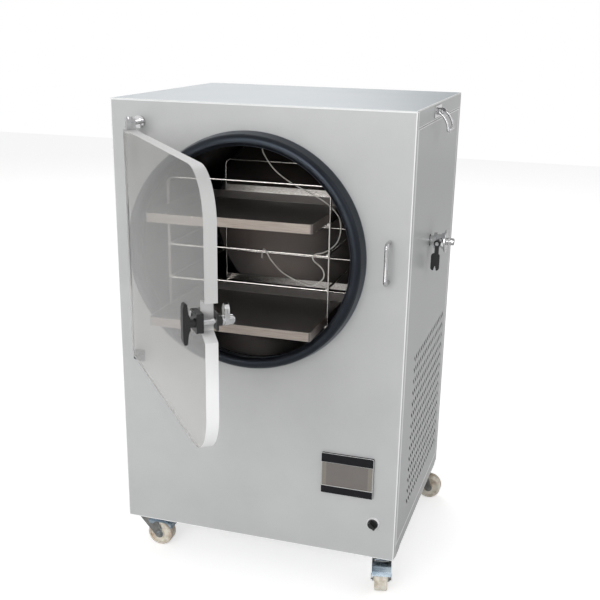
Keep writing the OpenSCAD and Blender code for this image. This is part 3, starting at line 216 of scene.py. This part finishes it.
end = tree.nodes.new("ShaderNodeOutputWorld")
tree.links.new(shown.out, end.inputs["Surface"])

middle = Vector((0, 0, 0.5))
for name, spot, size, power in [
    ("key_lamp", (-0.6, -5.2, 2.0), 3.4, 142),
    ("side_lamp", (4.2, -0.6, 3.4), 2.6, 20),
    ("back_lamp", (-1.5, 3.4, 3.6), 2.6, 52),
]:
    lamp = bpy.data.lights.new(name, "AREA")
    lamp.size = size
    lamp.energy = power
    holder = bpy.data.objects.new(name, lamp)
    scene.collection.objects.link(holder)
    holder.location = spot
    holder.rotation_euler = (middle - Vector(spot)).to_track_quat("-Z", "Y").to_euler()

camera_data = bpy.data.cameras.new("camera")
camera_data.sensor_width = 36
camera_data.lens = 57.355
camera_data.shift_x = -0.0042
camera_data.shift_y = 0.0772
camera = bpy.data.objects.new("camera", camera_data)
scene.collection.objects.link(camera)
camera.location = (0.67046, -2.11647, 1.14357)
camera.rotation_euler = [math.radians(a) for a in (70.9988, -0.9925, 17.4333)]
scene.camera = camera
scene.view_settings.view_transform = "Standard"


# ---- Painted cabinet ---------------------------------------------------------------------------
# Folded steel sheet with a light grey powder coat: a satin skin with a fine orange-peel grain. Each
# folded edge carries a painted highlight, so each seam shows as a light line.
def wear(material, *names):
    """Gives CAD nodes that stay as they are a finish."""
    for name in names:
        for slot in nodes[name].material_slots:
            slot.material = material


def alone(piece):
    """Makes one piece the only selected and the active one."""
    bpy.ops.object.select_all(action="DESELECT")
    piece.select_set(True)
    bpy.context.view_layer.objects.active = piece


def dress(source, name, width, materials, edge=0, segments=2, flat=False):
    """Puts a copy of a CAD node with merged triangles and rounded edges in the node's place.

    The rounding takes the material of the number edge. A flat piece keeps faceted shading."""
    same_spot = 0.000002
    one_plane = math.radians(0.5)
    one_plane_flat = math.radians(1)
    any_shape = math.radians(180)
    smooth_below = math.radians(35)
    round_above = math.radians(30)
    piece = bpy.data.objects.new(name, nodes[source].data.copy())
    scene.collection.objects.link(piece)
    piece.data.materials.clear()
    for material in materials:
        piece.data.materials.append(material)
    alone(piece)
    bpy.ops.object.mode_set(mode="EDIT")
    bpy.ops.mesh.select_all(action="SELECT")
    bpy.ops.mesh.remove_doubles(threshold=same_spot)
    if flat:
        bpy.ops.mesh.tris_convert_to_quads(face_threshold=one_plane_flat, shape_threshold=any_shape)
    else:
        bpy.ops.mesh.dissolve_limited(angle_limit=one_plane)
    bpy.ops.object.mode_set(mode="OBJECT")
    for face in piece.data.polygons:
        face.material_index = 0
    bpy.ops.object.shade_smooth_by_angle(angle=smooth_below)
    rounding = piece.modifiers.new("rounding", "BEVEL")
    rounding.width = width
    rounding.segments = segments
    rounding.limit_method = "ANGLE"
    rounding.angle_limit = round_above
    rounding.harden_normals = not flat
    rounding.material = edge
    bpy.ops.object.modifier_apply(modifier="rounding")
    if flat:
        bpy.ops.object.shade_flat()
    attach(piece, nodes[source]["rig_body"])
    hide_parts(source)
    return piece


def powder_coat(name, dark, light, bands):
    """Satin paint with a painted highlight in each band, where all its (axis, from, to) ramps reach their
    ends.
    """
    place = Wire.begin(name)
    peel = place.noise(900, 1.5)
    cloud = place.noise(5, 4, 0.6).range(0.35, 0.65)
    coat = cloud.mix(dark, light)
    for band in bands:
        reach = 1.0
        for axis, start, stop in band:
            along_axis = place.node("ShaderNodeSeparateXYZ", inputs={0: place}, out=axis)
            reach = along_axis.range(start, stop) * reach
        # Where a band reaches, the coat turns to a near-white painted highlight.
        coat = reach.mix(coat, (0.86, 0.87, 0.87))
    return place.shade(
        Base_Color=coat,
        Roughness=cloud.range(0, 1, 0.34, 0.42),
        Normal=place.bump(0.00006, peel, 0.5),
        Coat_Weight=0.15,
        Coat_Roughness=0.2,
    )


# The rounded folds are painted near white as a painted highlight, with random tone in it.
place = Wire.begin("powder coat on the folds")
cloud = place.noise(40, 3).range(0.35, 0.65)
fold_highlight_paint = place.shade(
    Base_Color=cloud.mix((0.80, 0.81, 0.81), (0.88, 0.89, 0.89)),
    Roughness=0.25,
    Coat_Weight=0.4,
    Coat_Roughness=0.1,
)
# Each fold line's painted highlight is (axis, how deep it is fully bright, how deep it ends), measured from
# the sheet's end.
skin_full, skin_end = 0.0030, 0.0034
for source, name, width, folds in [
    ("front_panel", "folded_front", 0.0012, [(0, 0.0018, 0.0022), (1, 0.0060, 0.0066), (2, 0.0016, 0.0020)]),
    ("right_panel", "slotted_side_right", 0.0006, [(1, 0.0060, 0.0066), (2, 0.0022, 0.0026)]),
    ("left_panel", "slotted_side_left", 0.0006, [(1, 0.0060, 0.0066), (2, 0.0022, 0.0026)]),
    ("rear_panel", "folded_rear", 0.0007, [(0, 0.0018, 0.0022), (2, 0.0016, 0.0020)]),
    ("base_pan", "folded_pan", 0.0009, [(2, 0.0020, 0.0024)]),
]:
    low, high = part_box(source)
    bands = []
    for axis, inner, outer in folds:
        skin = []
        if axis == 0:
            skin = [(1, high[1] - skin_end, high[1] - skin_full)]
            if source == "front_panel":
                skin = [(1, low[1] + skin_end, low[1] + skin_full)]
        if (source, axis) != ("front_panel", 1):
            bands.append([(axis, low[axis] + outer, low[axis] + inner), *skin])
        bands.append([(axis, high[axis] - outer, high[axis] - inner), *skin])
    paint = powder_coat(source + " coat", (0.470, 0.478, 0.478), (0.505, 0.513, 0.513), bands)
    slotted = source in ("right_panel", "left_panel")
    segments = 1 if slotted else 2
    dress(source, name, width, [paint, fold_highlight_paint], 1, segments, slotted)

place = Wire.begin("dark primer")
spots = place.noise(60, 3).range(0.3, 0.7)
primer = place.shade(Base_Color=spots.mix((0.018, 0.018, 0.019), (0.030, 0.030, 0.031)), Roughness=0.6)
wear(primer, "cabinet_frame", "fan_shroud", "lower_hinge_bracket", "control_box")


# ---- Lid ---------------------------------------------------------------------------------------
# A shallow steel tray turned upside down over the cabinet, powder-coated a colder grey. Its front
# and right edges, the edges of its sides and its rounded folds carry painted highlights.
low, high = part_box("top_cover")
# The top is painted with highlight bands along its right and front edges.
lid_paint = powder_coat(
    "pale blue-grey coat",
    (0.40, 0.455, 0.495),
    (0.435, 0.49, 0.525),
    [[(0, high[0] - 0.0042, high[0] - 0.0034)], [(1, low[1] + 0.0046, low[1] + 0.0038)]],
)
# The sides are painted with highlight bands along their top and bottom edges.
side_paint = powder_coat(
    "coat on the lid's sides",
    (0.48, 0.49, 0.49),
    (0.51, 0.52, 0.52),
    [[(2, low[2] + 0.0026, low[2] + 0.0022)], [(2, high[2] - 0.0020, high[2] - 0.0016)]],
)
lid_finish = [lid_paint, fold_highlight_paint, side_paint]
lid = dress("top_cover", "folded_lid", 0.0016, lid_finish, edge=1, segments=3)
for face in lid.data.polygons:
    if face.material_index == 0 and abs(face.normal.z) < 0.5:
        face.material_index = 2


# ---- Machinery ---------------------------------------------------------------------------------
# The cold side of the machine: a hermetic compressor and a fan-cooled condenser, both painted
# black, bare copper pipes, and black rubber foam round the chamber.
place = Wire.begin("black machine paint")
fine = place.noise(500, 2)
machine_paint = place.shade(
    Base_Color=fine.mix((0.010, 0.010, 0.011), (0.016, 0.016, 0.017)),
    Roughness=0.4,
    Normal=place.bump(0.00004, fine, 0.5),
)
wear(machine_paint, "fan_blades", "fan_motor", "compressor", "condenser")

place = Wire.begin("rubber foam")
cells = place.noise(150, 3)
foam = place.shade(Base_Color=cells.mix((0.008, 0.008, 0.008), (0.016, 0.016, 0.016)), Roughness=0.9)
wear(foam, "chamber_insulation")

place = Wire.begin("copper tube")
tarnish = place.noise(25, 4).range(0.35, 0.7)
copper = place.shade(
    Base_Color=tarnish.mix((0.85, 0.42, 0.26), (0.45, 0.22, 0.13)), Metallic=1.0, Roughness=0.3
)
wear(copper, "evaporator_coil", "refrigerant_pipes")

place = Wire.begin("black plastic")
fine = place.noise(500, 2)
black_plastic = place.shade(
    Base_Color=fine.mix((0.006, 0.006, 0.007), (0.012, 0.012, 0.013)),
    Roughness=0.36,
    Normal=place.bump(0.00004, fine, 0.5),
)
wear(black_plastic, "power_gland")


# ---- Chamber -----------------------------------------------------------------------------------
# A drawn stainless drum with a dished end. Inside it is lit only through its mouth, and its
# polished wall mirrors the dark of the far side. Its colour is painted near black as painted shade,
# with brown patches of painted reflection.
place = Wire.begin("polished stainless, tinted")
painted_reflection_patches = place.noise(5, 3).range(0.4, 0.65)
# Near-black painted shade, with brown patches as painted reflection.
drum_steel = place.shade(
    Base_Color=painted_reflection_patches.mix((0.028, 0.025, 0.024), (0.042, 0.034, 0.031)),
    Metallic=0.9,
    Roughness=painted_reflection_patches.range(0, 1, 0.30, 0.34),
)
wear(drum_steel, "chamber_shell", "feedthrough")

place = Wire.begin("bright plate")
specks = place.noise(120, 3)
chrome = place.shade(
    Base_Color=specks.range(0.3, 0.7).mix((0.52, 0.52, 0.53), (0.66, 0.66, 0.67)),
    Metallic=1.0,
    Roughness=specks.range(0.3, 0.7, 0.06, 0.14),
)
wear(chrome, "port_nipple", "drain_tube", "upper_hinge_stud", "upper_hinge_clevis")
wear(chrome, "latch_shaft", "latch_nut", "latch_screws")


# ---- Gasket ------------------------------------------------------------------------------------
# One moulded ring of soft black rubber over the drum's rim. Its shoulder has a cold sheen and a
# film of fine dust.
place = Wire.begin("soft black rubber")
dust = place.noise(40, 4).range(0.5, 0.8)
rubber = place.shade(
    Base_Color=dust.mix((0.0035, 0.0040, 0.0055), (0.008, 0.0088, 0.011)),
    Roughness=dust.range(0, 1, 0.30, 0.42),
    Specular_IOR_Level=0.42,
    Specular_Tint=(0.70, 0.82, 1.0),
    Sheen_Weight=0.12,
    Sheen_Roughness=0.4,
    Sheen_Tint=(0.6, 0.75, 1.0),
)
wear(rubber, "door_gasket")


# ---- Rack and trays ----------------------------------------------------------------------------
# Bright wire welded to a frame, and two folded stainless trays. A tray's outside is brushed, its
# folded edges are painted bright as a painted highlight, and its inside is a darker satin painted as shade.
place = Wire.begin("bright wire")
specks = place.noise(300, 2)
wire_steel = place.shade(
    Base_Color=specks.range(0.3, 0.7).mix((0.50, 0.47, 0.44), (0.72, 0.70, 0.68)),
    Metallic=1.0,
    Roughness=0.25,
)
wear(wire_steel, "shelf_rack")

place = Wire.begin("brushed tray lip")
lines = place.noise(60, 3, 0.6, (0.4, 12, 12))
lip_steel = place.shade(
    Base_Color=lines.range(0.3, 0.7).mix((0.29, 0.25, 0.225), (0.40, 0.355, 0.32)),
    Metallic=0.85,
    Roughness=lines.range(0.3, 0.7, 0.30, 0.42),
    Normal=place.bump(0.00005, lines, 0.3),
)
# The tray's inside is painted dark as painted shade.
place = Wire.begin("mirror tray floor")
scuffs = place.noise(12, 3).range(0.3, 0.7)
painted_shade_floor_steel = place.shade(
    Base_Color=scuffs.mix((0.150, 0.137, 0.130), (0.175, 0.160, 0.152)),
    Metallic=0.5,
    Roughness=scuffs.range(0, 1, 0.42, 0.48),
)
# The folded edges are painted near white as a painted highlight.
place = Wire.begin("worn tray edge")
edge_highlight_noise = place.noise(90, 3).range(0.3, 0.7)
edge_highlight_steel = place.shade(
    Base_Color=edge_highlight_noise.mix((0.70, 0.67, 0.64), (0.86, 0.84, 0.81)), Metallic=0.7, Roughness=0.3
)
tray_finish = [lip_steel, painted_shade_floor_steel, edge_highlight_steel]
skin = 0.0006
for source in ("tray_upper", "tray_lower"):
    low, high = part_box(source)
    tray = dress(source, source + "_pressed", 0.0006, tray_finish, edge=2, flat=True)
    for face in tray.data.polygons:
        x, y, z = face.center
        inside = low[0] + skin < x < high[0] - skin and low[1] + skin < y < high[1] - skin
        if inside and face.material_index == 0:
            face.material_index = 1


# ---- Probe lead --------------------------------------------------------------------------------
# The temperature probe's thin white lead. It leaves the feedthrough in the top of the drum, comes
# down beside the trays and hangs in a loop, with its bare tip over a rod of the rack.
lead_points = [
    (-16, -196, 885.6), (-13.5, -197.5, 872), (12, -206, 842), (50, -214, 818), (95, -222, 800),
    (135, -229, 782), (163, -233, 758), (170, -236, 730), (165, -240, 705), (152, -250, 690),
    (138, -259, 683), (128, -263.5, 681.4), (121, -268.2, 677.2), (124, -271, 668), (140, -272, 656),
    (147, -272, 642), (142, -272, 628), (121, -272, 614), (98, -272, 618), (57, -272, 637),
    (32, -271, 660), (21.5, -268.6, 674), (16.5, -266.2, 679.8), (11.5, -261.6, 681.5),
    (7.5, -257.2, 677.6), (5.5, -256, 670), (5, -256.5, 660),
]


def along(points, steps):
    """Points on a smooth line through the given ones, with so many steps between two of them."""
    line = []
    ends = [points[0], *points, points[-1]]
    for a, b, c, d in zip(ends, ends[1:], ends[2:], ends[3:]):
        for step in range(steps):
            t = step / steps
            line.append(0.5 * (2 * b + (c - a) * t + (2 * a - 5 * b + 4 * c - d) * t * t
                               + (3 * b - a - 3 * c + d) * t ** 3))
    return [*line, points[-1]]


lead_thickness = 0.0025
route = along([Vector(p) / 1000 for p in lead_points], 5)
sheath_line = bpy.data.curves.new("probe_line", "CURVE")
sheath_line.dimensions = "3D"
sheath_line.bevel_depth = lead_thickness / 2
sheath_line.bevel_resolution = 3
sheath_line.use_fill_caps = True
run = sheath_line.splines.new("POLY")
run.points.add(len(route) - 1)
for point, spot in zip(run.points, route):
    point.co = (*spot, 1)
run.use_smooth = True
probe = bpy.data.objects.new("probe_line", sheath_line)
scene.collection.objects.link(probe)
# The white sheath is painted grey as painted shade, with grime in random patches.
place = Wire.begin("white sheath")
grime_and_shade = place.noise(60, 3).range(0.35, 0.7)
sheath = place.shade(Base_Color=grime_and_shade.mix((0.62, 0.60, 0.57), (0.42, 0.40, 0.37)), Roughness=0.45)
sheath_line.materials.append(sheath)
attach(probe, "cabinet")
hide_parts("probe_lead")
round(sum((b - a).length for a, b in zip(route, route[1:])), 4)


# ---- Door --------------------------------------------------------------------------------------
# One thick slab of clear cast acrylic. Its large faces are polished, its sawn edges are frosted and
# painted lighter towards the bottom as painted light, and the broken arrises between them carry a
# painted highlight.
place = Wire.begin("clear acrylic")
haze = place.noise(30, 3)
acrylic = place.shade(
    Base_Color=haze.mix((0.975, 0.965, 0.945), (0.955, 0.945, 0.925)),
    Roughness=0.03,
    Transmission_Weight=1.0,
    IOR=1.54,
)
place = Wire.begin("frosted edge")
saw = place.noise(400, 2, 0.5, (1, 1, 6)).range(0.3, 0.7)
# Lower on the door the frosted edge is painted lighter, as painted light.
height = place.node("ShaderNodeSeparateXYZ", inputs={0: place}, out=2)
frost = place.shade(
    Base_Color=height.range(0.56, 0.72).mix((0.90, 0.905, 0.905), (0.56, 0.56, 0.555)),
    Roughness=saw.range(0, 1, 0.40, 0.55),
    Normal=place.bump(0.0001, saw, 0.4),
)
# The arrises are painted near white as a painted highlight.
place = Wire.begin("polished arris")
saw = place.noise(300, 2)
arris = place.shade(Base_Color=saw.mix((0.86, 0.87, 0.87), (0.95, 0.96, 0.96)), Roughness=0.15)
door = dress("door_panel", "clear_door", 0.0011, [acrylic, frost, arris], edge=2)
swing = next(j for j in frame["joints"] if j["name"] == "door_hinge")
turned = math.radians(-swing["range_deg"][0])
through = Vector((math.sin(turned), math.cos(turned), 0))
for face in door.data.polygons:
    if face.material_index == 0 and abs(face.normal.dot(through)) < 0.7:
        face.material_index = 1


# ---- Latch -------------------------------------------------------------------------------------
# A moulded black handle and block outside, a black plate inside, and a plated hook on a steel
# shaft, held by a domed nut.
for source, name, width in [
    ("latch_handle", "moulded_handle", 0.0012),
    ("latch_plate_outer", "moulded_block", 0.0010),
    ("latch_plate_inner", "moulded_plate", 0.0006),
]:
    dress(source, name, width, [black_plastic])
dress("latch_hook", "plated_hook", 0.0012, [chrome])
dress("strike_bar", "plated_strike", 0.0003, [chrome])


# ---- Touch panel and selector ------------------------------------------------------------------
# A black moulded frame, its rounded edge painted pale as a painted highlight, with a dark, unlit
# screen that has a narrow pale margin at each side. The selector is a black knob in a silver ring.
place = Wire.begin("screen frame")
fine = place.noise(300, 2)
frame_black = place.shade(
    Base_Color=fine.mix((0.010, 0.010, 0.012), (0.014, 0.014, 0.017)), Roughness=0.5, Specular_IOR_Level=0.12
)
# The frame's rounded edge is painted pale as a painted highlight.
place = Wire.begin("screen frame's edge")
fine = place.noise(300, 2)
frame_edge_highlight = place.shade(Base_Color=fine.mix((0.70, 0.71, 0.71), (0.80, 0.81, 0.81)), Roughness=0.25)
dress("touch_panel_frame", "moulded_frame", 0.0018, [frame_black, frame_edge_highlight], edge=1)

low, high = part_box("touch_screen")
place = Wire.begin("unlit screen")
across = place.node("ShaderNodeSeparateXYZ", inputs={0: place}, out=0)
haze = place.noise(30, 2)
margin = 0.010
fade = 0.0004
left = across.range(low[0] + margin - fade, low[0] + margin, 1, 0)
right = across.range(high[0] - margin, high[0] - margin + fade, 0, 1)
dark_glass = haze.mix((0.165, 0.150, 0.140), (0.180, 0.165, 0.153))
pale_margin = haze.mix((0.21, 0.195, 0.17), (0.24, 0.22, 0.19))
screen = place.shade(Base_Color=(left + right).mix(dark_glass, pale_margin), Roughness=0.25)
wear(screen, "touch_screen")

place = Wire.begin("silver ring")
turning = place.noise(400, 2)
ring_metal = place.shade(
    Base_Color=turning.range(0.3, 0.7).mix((0.80, 0.80, 0.81), (0.90, 0.90, 0.91)),
    Metallic=0.4,
    Roughness=0.3,
)
dress("selector_bezel", "silver_ring", 0.0006, [ring_metal])

low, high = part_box("selector_knob")
place = Wire.begin("knob with its mark")
across = place.node("ShaderNodeSeparateXYZ", inputs={0: place}, out=0) - (low[0] + high[0]) / 2
up = place.node("ShaderNodeSeparateXYZ", inputs={0: place}, out=2) - (low[2] + high[2]) / 2
end = (up - across).range(0.0060, 0.0064)
line = (up + across).math("ABSOLUTE").range(0.0024, 0.0020)
knob_plastic = place.shade(
    Base_Color=(end * line).mix((0.009, 0.009, 0.010), (0.85, 0.85, 0.85)), Roughness=0.3
)
dress("selector_knob", "black_knob", 0.0010, [knob_plastic])


# ---- Lid handles -------------------------------------------------------------------------------
# A plated plate with two knuckles on each side of the lid, and a bright wire bail that drops
# against the panel.
for side in ("right", "left"):
    dress("lid_handle_" + side, "wire_bail_" + side, 0.0003, [chrome])
dress("handle_plates", "plated_plates", 0.0006, [chrome])


# ---- Vacuum valve ------------------------------------------------------------------------------
# A ball valve on the nipple through the side panel, with a black forked lever and a flanged hose
# end.
dress("valve_lever", "forked_lever", 0.0008, [black_plastic])
dress("valve_body", "ball_valve", 0.0006, [chrome])
dress("hose_adapter", "barbed_end", 0.0005, [chrome])


# ---- Castors -----------------------------------------------------------------------------------
# Pressed forks in dull zinc plate with bluer edges, a blue-plated brake pedal on the two front
# ones, and cream nylon wheels with brown scuffs.
place = Wire.begin("blue zinc plate")
specks = place.noise(90, 4)
bands = place.noise(45, 2, 0.5, (0.3, 0.3, 2.2)).range(0.35, 0.65)
zinc = place.shade(
    Base_Color=bands.mix((0.20, 0.27, 0.34), (0.62, 0.72, 0.80)),
    Metallic=1.0,
    Roughness=specks.range(0.3, 0.7, 0.18, 0.32),
)
place = Wire.begin("dull zinc plate")
specks = place.noise(70, 4).range(0.3, 0.7)
dull_zinc = place.shade(
    Base_Color=specks.mix((0.17, 0.17, 0.165), (0.34, 0.34, 0.33)), Metallic=1.0, Roughness=0.34
)
wear(dull_zinc, "panel_screws", "caster_plates")
for side in ("fl", "fr", "rl", "rr"):
    dress("caster_fork_" + side, "pressed_fork_" + side, 0.0005, [dull_zinc, zinc], edge=1)
for side in ("fl", "fr"):
    dress("brake_pedal_" + side, "pressed_pedal_" + side, 0.0005, [zinc])

place = Wire.begin("cream nylon")
marks = place.noise(45, 4, 0.6).range(0.42, 0.68)
nylon = place.shade(
    Base_Color=marks.mix((0.78, 0.73, 0.64), (0.44, 0.36, 0.27)),
    Roughness=0.40,
    Subsurface_Weight=0.08,
)
wear(nylon, *["caster_wheel_" + side for side in ("fl", "fr", "rl", "rr")])
